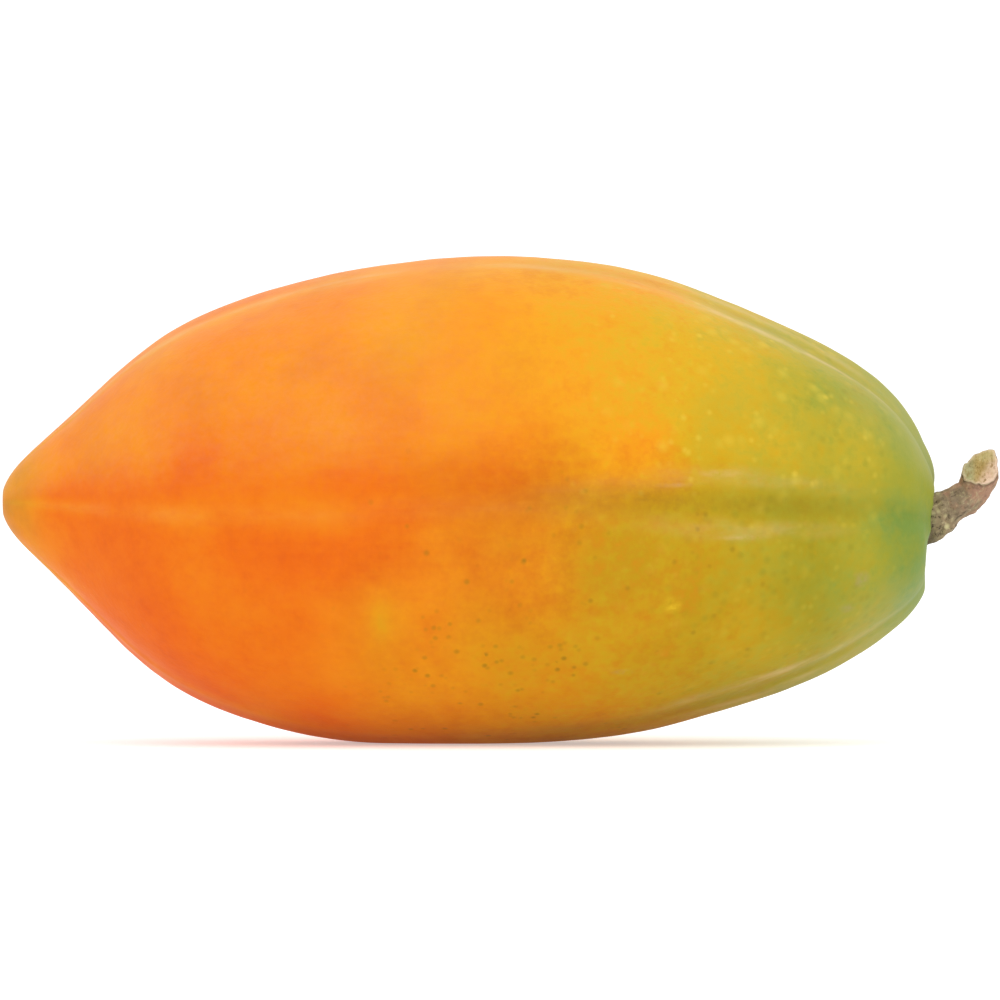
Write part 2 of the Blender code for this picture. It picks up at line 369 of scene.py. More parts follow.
class Sheet:
    """A material's or a world's shader tree, emptied and filled node by node."""

    def __init__(self, owner):
        owner.use_nodes = True
        self.tree = owner.node_tree
        self.tree.nodes.clear()

    def node(self, kind, settings=None, sockets=None, output=0):
        """Adds a node: settings first, then its sockets' values or links. Returns an output,
        where the node has any."""
        node = self.tree.nodes.new(kind)
        for name, value in (settings or {}).items():
            if name == "stops":
                self.set_stops(node.color_ramp, value)
            else:
                setattr(node, name, value)
        for key, value in (sockets or {}).items():
            socket = self.pick(node.inputs, key)
            if isinstance(value, Socket):
                self.tree.links.new(value.output, socket)
            else:
                socket.default_value = value
        return Socket(self, self.pick(node.outputs, output)) if len(node.outputs) else None

    @staticmethod
    def pick(sockets, key):
        """The socket with this index, or the one in use with this name."""
        if isinstance(key, int):
            return sockets[key]
        return next(socket for socket in sockets if socket.name == key and socket.enabled)

    @staticmethod
    def set_stops(ramp, stops):
        """Gives a colour ramp these (position, colour) stops."""
        while len(ramp.elements) < len(stops):
            ramp.elements.new(1.0)
        for element, (position, colour) in zip(ramp.elements, stops):
            element.position = position
            element.color = opaque(colour)

    def attribute(self, name, output="Fac"):
        return self.node("ShaderNodeAttribute", {"attribute_name": name}, output=output)

    def mapped(self, place, sizes, centre=(0, 0, 0)):
        """The place measured from a centre in units of these sizes."""
        settings = {"vector_type": "TEXTURE"}
        sockets = {"Vector": place, "Location": centre, "Scale": sizes}
        return self.node("ShaderNodeMapping", settings, sockets)

    def part(self, place, axis):
        """One coordinate of a place: its X, Y or Z."""
        return self.node("ShaderNodeSeparateXYZ", None, {0: place}, axis)

    def noise(self, place, width, detail=2.0, roughness=0.5):
        """Soft noise from -1 to 1, whose blotches are about this wide."""
        sockets = {"Vector": place, "Scale": 1 / width, "Detail": detail, "Roughness": roughness}
        return self.node("ShaderNodeTexNoise", None, sockets) * 2.0 - 1.0

    def step(self, value, start, end):
        """0 before start, 1 past end, smooth between them; start may be above end."""
        settings = {"interpolation_type": "SMOOTHSTEP"}
        low, high = (start, end) if start < end else (end, start)
        sockets = {"Value": value, "From Min": low, "From Max": high}
        rising = self.node("ShaderNodeMapRange", settings, sockets)
        return rising if start < end else 1 - rising

    def mark(self, place, centre, sizes, soft=0.6):
        """1 at a centre, 0 outside an ellipsoid of these half sizes, its edge this soft."""
        inside = self.mapped(place, sizes, centre)
        settings = {"operation": "LENGTH"}
        distance = self.node("ShaderNodeVectorMath", settings, {0: inside}, "Value")
        return self.step(distance, 1.0, 1.0 - soft)

    def dots(self, place, spacing, radius, softness, share):
        """Round dots this far apart, one in each random cell whose random colour, made grey,
        puts it in this share of the cells."""
        settings = {"voronoi_dimensions": "3D", "feature": "F1"}
        sockets = {"Vector": place, "Scale": 1 / spacing}
        distance = self.node("ShaderNodeTexVoronoi", settings, sockets, "Distance")
        colour = self.node("ShaderNodeTexVoronoi", settings, sockets, "Color")
        draw = self.node("ShaderNodeRGBToBW", None, {"Color": colour})
        reach = radius / spacing
        round_dot = self.step(distance, reach, reach * (1 - softness))
        return round_dot * self.step(draw, 1.0 - share, 1.0 - share * 0.6)

    def mix(self, factor, first, second, blend="MIX"):
        """The first colour, mixed towards the second by the factor."""
        settings = {"data_type": "RGBA", "blend_type": blend, "clamp_factor": True}
        sockets = {0: factor, "A": opaque(first), "B": opaque(second)}
        return self.node("ShaderNodeMix", settings, sockets, "Result")

    def surface(self, colour, roughness, height, depth, specular):
        """Ends the tree: a Principled shader whose colour, roughness and relief vary."""
        sockets = {
            "Base Color": opaque(colour),
            "Roughness": roughness,
            "Normal": self.node("ShaderNodeBump", None, {"Height": height, "Distance": depth}),
            "Specular IOR Level": specular,
        }
        shader = self.node("ShaderNodeBsdfPrincipled", None, sockets)
        self.node("ShaderNodeOutputMaterial", None, {"Surface": shader})


def tint(name, description, default):
    return FloatVectorProperty(
        name=name, description=description, default=default, subtype="COLOR", min=0.0, max=1.0
    )


def number(name, description, default, **settings):
    return FloatProperty(name=name, description=description, default=default, **settings)


def metres(name, description, default):
    return number(name, description, default, unit="LENGTH")


def fraction(name, description, default):
    return number(name, description, default, subtype="FACTOR", min=0.0, max=1.0)


def whole(name, description, default):
    return IntProperty(name=name, description=description, default=default, min=8)


class PapayaSizes(bpy.types.PropertyGroup):
    fruit_length: metres("Fruit length", "Length of the fruit without its stalk", 0.270)
    fruit_radius: metres("Fruit radius", "Greatest half thickness of the fruit", 0.0712)
    rest_depth: metres("Rest depth", "How far the belly is flattened", 0.0009)
    stalk_radius: metres("Stalk radius", "Half thickness at the stalk's foot", 0.0065)
    skin_rings: whole("Skin rings", "Rings of points along the fruit", 270)
    skin_segments: whole("Skin segments", "Points in each ring of the fruit", 330)
    bark_rings: whole("Bark rings", "Rings of points along the stalk", 150)
    face_rings: whole("Face rings", "Rings of points in the broken face", 26)
    stalk_segments: whole("Stalk segments", "Points in each ring of the stalk", 128)


class PapayaColours(bpy.types.PropertyGroup):
    blush: tint("Blush", "Ripest skin", (0.79, 0.112, 0.002))
    deep_orange: tint("Deep orange", "Fully ripe skin", (0.855, 0.168, 0.002))
    orange: tint("Orange", "Ripe skin", (0.885, 0.262, 0.005))
    gold: tint("Gold", "Skin on the turn", (0.870, 0.352, 0.006))
    yellow: tint("Yellow", "Skin beginning to turn", (0.73, 0.420, 0.010))
    lime: tint("Lime", "Yellow-green skin", (0.54, 0.405, 0.022))
    olive: tint("Olive", "Olive skin", (0.37, 0.360, 0.030))
    leaf: tint("Leaf green", "Unripe skin", (0.20, 0.300, 0.045))
    dull_tint: tint("Dull tint", "Dulls the lower flank", (0.72, 0.77, 0.45))
    dots: tint("Pale dots", "Dots in turning skin", (0.82, 0.62, 0.06))
    specks: tint("Dark specks", "Specks on the lower flank", (0.29, 0.165, 0.005))
    freckles: tint("Freckles", "Freckles near the stalk", (0.23, 0.22, 0.010))
    furrow: tint("Furrow floor", "Olive along the furrows", (0.25, 0.20, 0.01))
    # Pale beige of worn skin and scratches, also laid on as a painted highlight along the furrows'
    # edges near the top and bottom.
    wear_and_highlight: tint("Rubbed skin", "Worn edges and scratches", (0.80, 0.60, 0.34))
    scuff: tint("Scuffs", "Greyish scuffs", (0.40, 0.31, 0.20))
    yellow_spot: tint("Yellow spot", "One spot low in front", (0.80, 0.56, 0.02))
    # Painted sheen: the peachy haze lightens the upper flank in place of the sheen of the light
    # above.
    haze: tint("Haze", "Haze on the upper flank", (0.95, 0.72, 0.60))
    # A waxy bloom's grey-green, also laid on as a painted sheen along the top and bottom near the
    # stalk.
    bloom_and_sheen: tint("Bloom", "Waxy bloom round the stalk", (0.46, 0.50, 0.30))
    withered: tint("Withered tip", "Skin round the scar", (0.50, 0.23, 0.02))
    scar: tint("Scar", "Scar on the blossom tip", (0.16, 0.09, 0.03))
    bark: tint("Bark", "The stalk's dry bark", (0.29, 0.215, 0.135))
    bark_pink: tint("Bruised bark", "Rubbed pinkish bark", (0.42, 0.235, 0.15))
    # Dark bark of pits and cracks, also used for the painted shadow line along the rim of the
    # break.
    bark_dark: tint("Dark bark", "Pits and cracks", (0.075, 0.055, 0.03))
    bark_pale: tint("Pale flecks", "Corky crumbs", (0.62, 0.52, 0.30))
    bark_foot: tint("Foot", "Bark at the foot", (0.31, 0.25, 0.125))
    bark_flecks: tint("Cork dots", "Dots on the bark", (0.76, 0.68, 0.36))
    wood: tint("Broken wood", "The middle of the break", (0.47, 0.33, 0.11))
    wood_green: tint("Green wood", "Fresh side of the break", (0.44, 0.41, 0.20))
    wood_cream: tint("Cream lip", "The lip of the break", (0.86, 0.62, 0.46))
    wood_top: tint("Upper wood", "Upper side of the break", (0.72, 0.62, 0.30))
    wood_hollow: tint("Hollows", "Hollows in the break", (0.30, 0.17, 0.04))
    wood_ridge: tint("Ridges", "Torn fibres in the break", (0.80, 0.68, 0.42))


class PapayaStage(bpy.types.PropertyGroup):
    lens: number("Lens", "Focal length of the camera", 600.0, unit="CAMERA")
    elevation: number(
        "Elevation", "How far the camera looks down", math.radians(1.0), subtype="ANGLE"
    )
    room_light: number("Room light", "Brightness of the room all round", 1.04)
    backdrop: number("Backdrop", "Brightness of the room as the camera sees it", 1.2)
    dim_side: fraction("Dim side", "How much dimmer the room is in front, low down", 0.42)
    soft_box: number("Soft box", "Power of the light overhead", 3.6, unit="POWER")
    floor: tint("Floor", "Colour of the floor", (0.88, 0.88, 0.88))
    floor_glow: fraction("Floor glow", "Light the floor gives off, as a light table", 0.14)
    floor_haze: fraction("Floor haze", "How much shadows on the floor are veiled", 0.40)


def outline_at(sizes, share):
    """Lengthwise place and radius at a share, 0 to 1, of the way along the outline."""
    corners = np.array(OUTLINE) * (sizes.fruit_length, sizes.fruit_radius)
    way = np.concatenate(([0.0], np.cumsum(np.hypot(*np.diff(corners, axis=0).T))))
    at = share * way[-1]
    along = cubic(np.column_stack((way, corners[:, 0])), at)
    radius = cubic(np.column_stack((way, corners[:, 1])), at, 1.0, -1.0)
    return along, radius


def furrow_turn(length_share, angle):
    """Angle from the nearest furrow. The furrows wander a little along the fruit, and the upper
    ones are turned towards the back."""
    turned = angle - UPPER_FURROW_TURN * np.maximum(np.sin(angle), 0.0) ** 2
    turned = turned + FURROW_WANDER * np.sin(FULL_TURN * length_share)
    gap = FULL_TURN / LOBES
    return (turned + gap / 2) % gap - gap / 2


def fruit_surface(sizes, share, angle):
    """Points of the skin, shares of the length, and radii.

    The outline is carried round the bowed axis. Five furrows lessen its radius, and notch the
    shoulders round the stalk, which lean and are dented under it. Angle 0 is the front (-Y), a
    quarter turn is the top.
    """
    along, radius = outline_at(sizes, share)
    length_share = along / sizes.fruit_length
    turn = furrow_turn(length_share, angle)
    furrow = ((1 + np.cos(LOBES * turn)) / 2) ** FURROW_SHARPNESS
    furrow = furrow * (1 + UPPER_FURROW_BIAS * np.sin(angle))
    radius = radius * (1 - cubic(FURROW_DEPTH, length_share) * furrow)
    shoulder = smooth_step(length_share, SHOULDER_START, 1.0)
    rise = radius * np.sin(angle)
    notch = SHOULDER_NOTCH * furrow * np.minimum(radius / sizes.stalk_radius, 3.0) / 3.0
    under = bell(radius - UNDER_DENT_RADIUS, UNDER_DENT_WIDTH)
    dent = UNDER_DENT * under * smooth_step(-np.sin(angle), 0.2, 0.9)
    x = along + shoulder * (SHOULDER_LEAN * rise - notch - dent)
    z = cubic(AXIS_BOW, length_share) + rise
    return np.stack((x, -radius * np.cos(angle), z), axis=-1), length_share, radius


def skin_relief(length_share, angle, radius, points):
    """Height of the fine relief above the fruit's surface.

    A crease deepens each furrow towards the stalk, a raised seam in a shallow bed runs along it
    from the blossom tip, puckers gather round the stalk, the whole skin swells gently, and the
    scar dimples the tip.
    """
    turn = furrow_turn(length_share, angle)
    height = -cubic(CREASE_DEPTH, length_share) * bell(turn, CREASE_TURN)
    seam = cubic(SEAM_HEIGHT, length_share)
    height += seam * (bell(turn, SEAM_TURN) - 0.8 * bell(turn, SEAM_BED_TURN))
    height += unevenness(points, SWELLINGS) * smooth_step(radius, 0.002, 0.020)
    puckers = np.cos(3 * LOBES * angle + 1.5 * np.sin(2 * angle)) * bell(radius - 0.011, 0.004)
    height += (length_share > 0.9) * PUCKER_HEIGHT * puckers
    return height - (length_share < 0.1) * SCAR_DEPTH * bell(radius, SCAR_WIDTH)


def grid_of(rows, columns):
    """Two grids, one of the value of each row and one of the value of each column."""
    return np.broadcast_arrays(rows[:, None], columns[None, :])


def fruit_shift(points, rest_depth):
    """The way from the worked-out fruit to where its CAD solid lies, its flat on the floor."""
    low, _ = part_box("fruit")
    side = -(points[..., 1].min() + points[..., 1].max()) / 2
    return np.array((low.x - points[..., 0].min(), side, -points[..., 2].min() - rest_depth))


def settle(height, softness=0.0003):
    """Heights kept above the floor: a soft-edged flat where the fruit rests."""
    return (height + np.sqrt(height**2 + softness**2)) / 2


def ripeness_of(length_share, angle, points):
    """How far the skin has turned, 0 leaf green to 1 red-orange.

    The upper and lower sides follow their own curves, mixed across the front and the back.
    Patches stand out, and soft noise breaks all edges up, less so beside the stalk.
    """
    calm = 0.8 * smooth_step(length_share, 0.86, 0.95)
    warped = np.clip(length_share + unevenness(points, PATCH_WARP) * (1 - calm), 0.0, 1.0)
    above = smooth_step(np.sin(angle) + 0.06 * ripples(points, 0.030, 25), 0.0, 0.65)
    curves = np.array(RIPENESS)
    ripe = cubic(curves[:, (0, 2)], warped) * (1 - above)
    ripe += cubic(curves[:, (0, 1)], warped) * above
    for place, degrees, half_length, half_width, gain in PATCHES:
        away = (warped - place) / half_length
        turn = np.sin((angle - math.radians(degrees)) / 2) * 2 / math.radians(half_width)
        ripe += gain * np.exp(-(away**2) - turn**2)
    return ripe + 0.016 * ripples(points, 0.030, 23)


def dullness_of(length_share, angle, points):
    """How dull the skin is: the DULLNESS curve on the lower flank, fading out above the front."""
    drop = -np.sin(angle)
    lower = smooth_step(drop, -0.36, 0.02) - 0.25 * smooth_step(drop, 0.3, 0.8)
    dull = lower * cubic(DULLNESS, length_share) + 0.08 * ripples(points, 0.030, 24)
    return np.clip(dull, 0, 1)


def make_skin_mesh(sizes):
    """The skin: the fruit's surface and its relief on a grid of rings, with what the paint reads.

    The rings stand closer together towards both ends. Returns the mesh and how far the fruit
    was moved to where its solid lies.
    """
    count, around = sizes.skin_rings, sizes.skin_segments
    ring = np.arange(1, count + 1) / (count + 1)
    share = ring - 0.30 * np.sin(FULL_TURN * ring) / FULL_TURN
    share, angle = grid_of(share, np.arange(around) / around * FULL_TURN)
    points, length_share, radius = fruit_surface(sizes, share, angle)
    ends, _, _ = fruit_surface(sizes, np.array((0.0, 1.0)), np.zeros(2))
    shift = fruit_shift(points, sizes.rest_depth)
    relief = skin_relief(length_share, angle, radius, points)
    rings = points + grid_normals(points) * relief[..., None] + shift
    rings[..., 2] = settle(rings[..., 2])
    ends = ends + shift
    ends[0, 0] += SCAR_DEPTH
    ripe = ripeness_of(length_share, angle, points)
    dull = dullness_of(length_share, angle, points)
    attributes = {
        "along": (length_share, 0.0, 1.0),
        "rise": (np.sin(angle), 0.0, 0.0),
        "furrow": (np.abs(furrow_turn(length_share, angle)), 0.0, 0.0),
        "ripeness": (ripe, ripe[0].mean(), ripe[-1].mean()),
        "dullness": (dull, dull[0].mean(), dull[-1].mean()),
    }
    return closed_mesh("papaya_skin", rings, ends[0], ends[1], attributes), shift


def stalk_line(origin, at):
    """Middle line and thickness share of the stalk at distances along its path.

    Splines carry each column through the path's points. They set out along its first stretch
    and arrive along its last.
    """
    knots = np.array(STALK_PATH)
    way = np.concatenate(([0.0], np.cumsum(np.linalg.norm(np.diff(knots[:, :3], axis=0), axis=1))))
    start = (knots[1] - knots[0]) / way[1]
    end = (knots[-1] - knots[-2]) / (way[-1] - way[-2])
    columns = [
        cubic(np.column_stack((way, knots[:, axis])), at, start[axis], end[axis])
        for axis in range(4)
    ]
    return np.stack(columns[:3], axis=-1) + origin, columns[3]


def stalk_surface(sizes, origin, at, angle):
    """Points of the bark at distances along the stalk and angles round it.

    A circle is carried along the middle line in a frame that stays upright. Its radius swells
    at the foot, steps in past the collar, and is roughened by ribs, lumps and a groove, all of
    them shares of the foot's half thickness.
    """
    middle, thickness = stalk_line(origin, at)
    ahead, _ = stalk_line(origin, at + 0.0002)
    direction = ahead - middle
    direction /= np.linalg.norm(direction, axis=-1, keepdims=True)
    front = np.broadcast_to(np.array((0.0, -1.0, 0.0)), direction.shape)
    front = front - direction * (front * direction).sum(axis=-1, keepdims=True)
    front = front / np.linalg.norm(front, axis=-1, keepdims=True)
    upper = np.cross(front, direction)
    across = np.cos(angle)[..., None] * front + np.sin(angle)[..., None] * upper
    ribs = 0.016 * np.cos(9 * angle + 260 * at) + 0.010 * np.cos(17 * angle - 400 * at + 1.0)
    lumps = unevenness(middle + sizes.stalk_radius * across, BARK_LUMPS)
    foot = 0.06 * bell(at - 0.0060, 0.0022) * (1 + 0.35 * np.cos(LOBES * angle + 0.6))
    collar = 0.04 * (1 - smooth_step(at, 0.0118, 0.0128))
    groove = -0.06 * bell(at - 0.0205, 0.0011) * smooth_step(np.sin(angle), -0.2, 0.9)
    radius = sizes.stalk_radius * (thickness - 0.02 + ribs + lumps + foot + collar + groove)
    return middle + across * radius[..., None]


def way_to_break(sizes, origin, angle, facing):
    """How far each line of the bark runs to its rim: it crosses the plane of the break between
    two fine samples, in proportion to their distances from it, give or take the uneven rim."""
    samples = np.linspace(0.0, BREAK_REACH, 900)
    tried = stalk_surface(sizes, origin, *grid_of(samples, angle))
    beyond = (tried - origin - np.array(BREAK_POINT)) @ facing
    last = np.argmax((beyond > 0) & (samples > BREAK_START)[:, None], axis=0)
    columns = np.arange(len(angle))
    after, before = beyond[last, columns], beyond[last - 1, columns]
    reach = samples[last] - samples[1] * after / (after - before)
    for degrees, spread, rise in BREAK_RIM:
        reach += rise * bell(2 * np.sin((angle - math.radians(degrees)) / 2), spread)
    return reach


def break_face(rim, count, facing):
    """Rings of the broken face, shrinking evenly from the rim, and each one's share of the way
    out from the middle. The face is dished inside a low lip, and grainy."""
    outward = np.linspace(1.0, 0.0, count + 1)[1:-1, None]
    middle = rim.mean(axis=0)
    face = middle + outward[..., None] * (rim - middle)
    grain = unevenness(face, BREAK_GRAIN) * (1 - outward**8)
    dish = 0.0004 * bell(outward - 0.9, 0.08) - BREAK_DISH * (1 - outward**2)
    return face + facing * (grain + dish)[..., None], outward


def make_stalk_mesh(sizes, shift):
    """The stalk: bark up to the plane of the break, then the rough broken face closing it.

    The rings of the bark share the way to the break out evenly. The paint reads the way along
    the stalk, how far past the rim a point lies, and its place on a straightened stalk.
    """
    pit, _, _ = fruit_surface(sizes, np.array((1.0,)), np.zeros(1))
    origin = pit[0] + shift
    origin[1] = shift[1]
    facing = np.array(BREAK_FACING) / np.linalg.norm(BREAK_FACING)
    angle = np.arange(sizes.stalk_segments) / sizes.stalk_segments * FULL_TURN
    reach = way_to_break(sizes, origin, angle, facing)
    share, turn = grid_of(np.linspace(0.0, 1.0, sizes.bark_rings), angle)
    at = share * reach
    bark = stalk_surface(sizes, origin, at, turn)
    middle = bark[-1].mean(axis=0)
    face, outward = break_face(bark[-1], sizes.face_rings, facing)
    tube = np.stack((at, BARK_TUBE * np.cos(turn), BARK_TUBE * np.sin(turn)), axis=-1)
    past_rim = np.broadcast_to(1 - outward + 0.001, face.shape[:2])
    way = np.full(face.shape[:2], reach.mean())
    attributes = {
        "way": (np.concatenate((at, way)), 0.0, reach.mean()),
        "broken": (np.concatenate((at - reach, past_rim)), -0.03, 1.0),
        "bark_place": (
            np.concatenate((tube, face - middle + FACE_PLACE)),
            (0.0, 0.0, 0.0),
            FACE_PLACE,
        ),
    }
    start, _ = stalk_line(origin, np.zeros(1))
    tip = middle - BREAK_DISH * facing
    rings = np.concatenate((bark, face))
    return closed_mesh("papaya_stalk", rings, start[0], tip, attributes)


class SkinPaint(Sheet):
    """The skin's paint, from green to red-orange, laid on in coats: each mixes its colour over
    the coats before it, as strongly as its mask of zones, noise and dots says."""

    def __init__(self, material, colours, sizes, shift):
        super().__init__(material)
        self.colours = colours
        self.sizes = sizes
        self.shift = shift
        self.place = self.node("ShaderNodeTexCoord", output="Object")
        self.lengthwise = self.mapped(self.place, (7.0, 1.0, 1.0))
        self.along = self.attribute("along")
        self.rise = self.attribute("rise")
        self.upright = abs(self.rise)
        self.furrow = self.attribute("furrow")
        self.streaks = self.noise(self.lengthwise, 0.0024, 3.0, 0.6)
        self.mottle = self.noise(self.place, 0.012, 4.0, 0.55)
        self.blotch = self.noise(self.place, 0.0055, 3.0, 0.6)
        self.fine = self.noise(self.place, 0.002, 2.0, 0.6)

    def spot(self, share, degrees):
        """The point of the skin at a share of the length, so many degrees up from the front."""
        shares = np.linspace(0.0, 1.0, 2001)
        angles = np.full(2001, math.radians(degrees))
        points, length_share, _ = fruit_surface(self.sizes, shares, angles)
        nearest = np.abs(length_share - share).argmin()
        return tuple(points[nearest] + self.shift)

    def ground(self):
        """The colour by ripeness, which mottles and streaks shift, most where the skin is still
        turning, with golden seams; dulled and stained on the lower flank."""
        turning = self.step(self.along, 0.46, 0.68) * self.step(self.along, 0.99, 0.91)
        belly = self.step(self.along, 0.34, 0.50) * self.step(self.rise, 0.10, -0.40)
        rough = 0.30 + 0.62 * turning + 0.22 * belly
        middle = self.step(abs(self.rise - 0.05), 0.55, 0.10)
        golden = self.step(self.furrow, 0.15, 0.0) * self.step(self.along, 0.46, 0.28)
        ripe = self.attribute("ripeness") + self.mottle * 0.065
        ripe = ripe + self.streaks * (0.022 + middle * 0.026)
        ripe = ripe + rough * (self.blotch * 0.130 + self.fine * 0.080)
        ripe = ripe - golden * (0.075 + self.streaks * 0.11)
        stops = [(position, getattr(self.colours, name)) for position, name in RIPENESS_STOPS]
        skin = self.node("ShaderNodeValToRGB", {"stops": stops}, {"Fac": ripe}, "Color")
        stain = (0.08 + 0.85 * rough) * (1 + 0.6 * self.step(self.along, 0.60, 0.80))
        stain = stain * (self.fine * 0.22 + self.blotch * 0.42 + self.mottle * 0.25)
        dull = self.attribute("dullness") + stain
        return self.mix(dull, skin, self.colours.dull_tint, "MULTIPLY")

    def dotted(self, skin):
        """Pale dots where the skin is turning, dark specks on the lower flank, which gather in
        clusters, and green freckles towards the stalk. Returns the dots and specks as well."""
        zone = self.step(self.along, 0.55, 0.74) * self.step(self.along, 0.99, 0.92)
        zone = zone * (0.35 + 0.65 * self.step(self.rise, -0.25, 0.15))
        crops = 0.25 + 0.75 * self.step(self.noise(self.place, 0.011), -0.25, 0.35)
        dots = self.dots(self.place, 0.0038, 0.0015, 0.95, 0.75) * zone * crops
        broad = self.dots(self.place, 0.0068, 0.0029, 1.00, 0.65) * zone
        skin = self.mix(dots * 0.45 + broad * 0.30, skin, self.colours.dots)

        clusters = self.step(self.noise(self.place, 0.013), 0.08, 0.38)
        for place in SPECK_CLUSTERS:
            clusters += self.mark(self.place, self.spot(*place), CLUSTER_SIZES)
        zone = self.step(self.along, 0.34, 0.46) * self.step(self.along, 0.92, 0.75)
        zone = zone * self.step(self.rise, 0.35, -0.10)
        specks = self.dots(self.place, 0.0052, 0.0013, 0.85, 0.45) * (zone * 0.75 + 0.08)
        crowd = self.dots(self.place, 0.0030, 0.0012, 0.85, 0.80) * zone * clusters
        skin = self.mix(specks * 0.50 + crowd * 0.55, skin, self.colours.specks)

        start = self.along - 0.12 * self.step(self.rise, -0.10, 0.20)
        zone = self.step(start, 0.64, 0.80) * self.step(self.along, 0.98, 0.92)
        freckles = self.dots(self.place, 0.0033, 0.0019, 0.95, 0.75) * (1.20 - crops) * zone
        return self.mix(freckles * 0.32, skin, self.colours.freckles), dots, specks

    def furrowed(self, skin):
        """The furrows: an olive floor towards the stalk, and pale edges on both sides, which meet
        in one pale line on the ripe half. The pale edges are worn skin in front and a painted
        highlight near the top and bottom, where the furrows' edges catch the light. Returns the
        pale edges as well."""
        floor = self.step(self.furrow, 0.115, 0.010) * self.step(self.along, 0.50, 0.70)
        floor = floor * (0.25 + 0.75 * self.step(self.along, 0.97, 0.86)) * (1 + self.streaks * 0.6)
        patches = (self.blotch + self.fine) * 0.50 * self.step(self.along, 0.62, 0.74)
        strength = 0.34 - 0.18 * self.step(self.upright, 0.62, 0.92)
        skin = self.mix(floor * (0.90 + patches) * strength, skin, self.colours.furrow)

        edge_turn = 0.135 * self.step(self.along, 0.50, 0.80) + self.mottle * 0.020
        edge = self.step(abs(self.furrow - edge_turn), 0.080, 0.004)
        patches = self.step(self.noise(self.lengthwise, 0.006, 4.0, 0.6), -0.30, 0.40)
        stalkward = self.step(self.along, 0.67, 0.79)
        front = 0.04 + 0.12 * stalkward * self.step(self.along, 0.93, 0.82)
        # Painted highlight: pale lines along the upper furrows and, towards the stalk, the lower
        # ones, where their edges catch the light.
        edge_highlight = self.step(self.rise, 0.62, 0.88) + self.step(self.rise, -0.62, -0.88) * stalkward
        edge_highlight = edge_highlight * (0.35 + 0.65 * self.step(self.upright, 0.990, 0.960))
        wear_and_highlight_weight = front + (0.28 + 0.12 * stalkward) * edge_highlight
        ends = self.step(self.along, 0.02, 0.10) * self.step(self.along, 0.995, 0.93)
        # The pale edges: worn skin in front, painted highlight above and below.
        wear_and_highlight = edge * (0.20 + 0.80 * patches) * wear_and_highlight_weight * ends
        return self.mix(wear_and_highlight, skin, self.colours.wear_and_highlight), wear_and_highlight

    def marked(self, skin):
        """Short pale scratches beside the front furrow, greyish scuffs and a yellow spot."""
        for place, halves, strength, colour_name in SKIN_MARKS:
            mark = self.mark(self.place, self.spot(*place), halves, soft=0.95)
            mark = mark * (0.6 + self.fine + self.streaks)
            skin = self.mix(mark * strength, skin, getattr(self.colours, colour_name))
        return skin

    def weathered(self, skin):
        """A faint peachy haze painted on the upper flank as the sheen of the light above, with a
        fainter touch of it all over; a grey-green waxy bloom towards the stalk, which is partly a
        painted sheen along the top and bottom; and the dry scar on the withered blossom tip.
        Returns the bloom as well."""
        # Painted sheen: a pale peachy haze on the upper flank of the blossom half, and a faint
        # touch of it everywhere.
        haze = self.step(self.rise, 0.02, 0.35) * self.step(self.along, 0.60, 0.36)
        haze = haze * (1 + self.mottle + self.fine * 1.2) * 0.030
        skin = self.mix(haze + (1 + self.fine * 1.5) * 0.004, skin, self.colours.haze)
        # Partly painted sheen: the grey-green bloom lies on the top and bottom towards the stalk,
        # and also stands in for the pale sheen seen along those edges.
        bloom_and_sheen = self.step(self.along, 0.84, 1.0) * self.step(self.upright, 0.35, 0.85)
        bloom_and_sheen = bloom_and_sheen * (0.7 + 0.6 * self.noise(self.place, 0.009, 3.0))
        skin = self.mix(bloom_and_sheen * 0.25, skin, self.colours.bloom_and_sheen)
        withered = self.step(self.along, 0.060, 0.004) * (1 + self.mottle * 1.5)
        skin = self.mix(withered * 0.45, skin, self.colours.withered)
        scar = self.mark(self.place, self.spot(0.0, 0.0), (0.003, 0.003, 0.003), soft=0.5)
        return self.mix(scar * 0.8, skin, self.colours.scar), bloom_and_sheen

    def paint(self):
        """Lays on all the coats. Roughness and relief follow the same noise and masks."""
        skin, dots, specks = self.dotted(self.ground())
        skin, wear_and_highlight = self.furrowed(skin)
        skin, bloom_and_sheen = self.weathered(self.marked(skin))
        roughness = 0.44 + self.mottle * 0.05 + self.fine * 0.03 + bloom_and_sheen * 0.12 + wear_and_highlight * 0.25
        pores = self.noise(self.place, 0.0011, 2.0, 0.6)
        height = pores * 0.35 + self.streaks * 0.20 + self.fine * 0.25 + dots * 0.25
        self.surface(skin, roughness, height - specks * 0.6, depth=0.00012, specular=0.10)


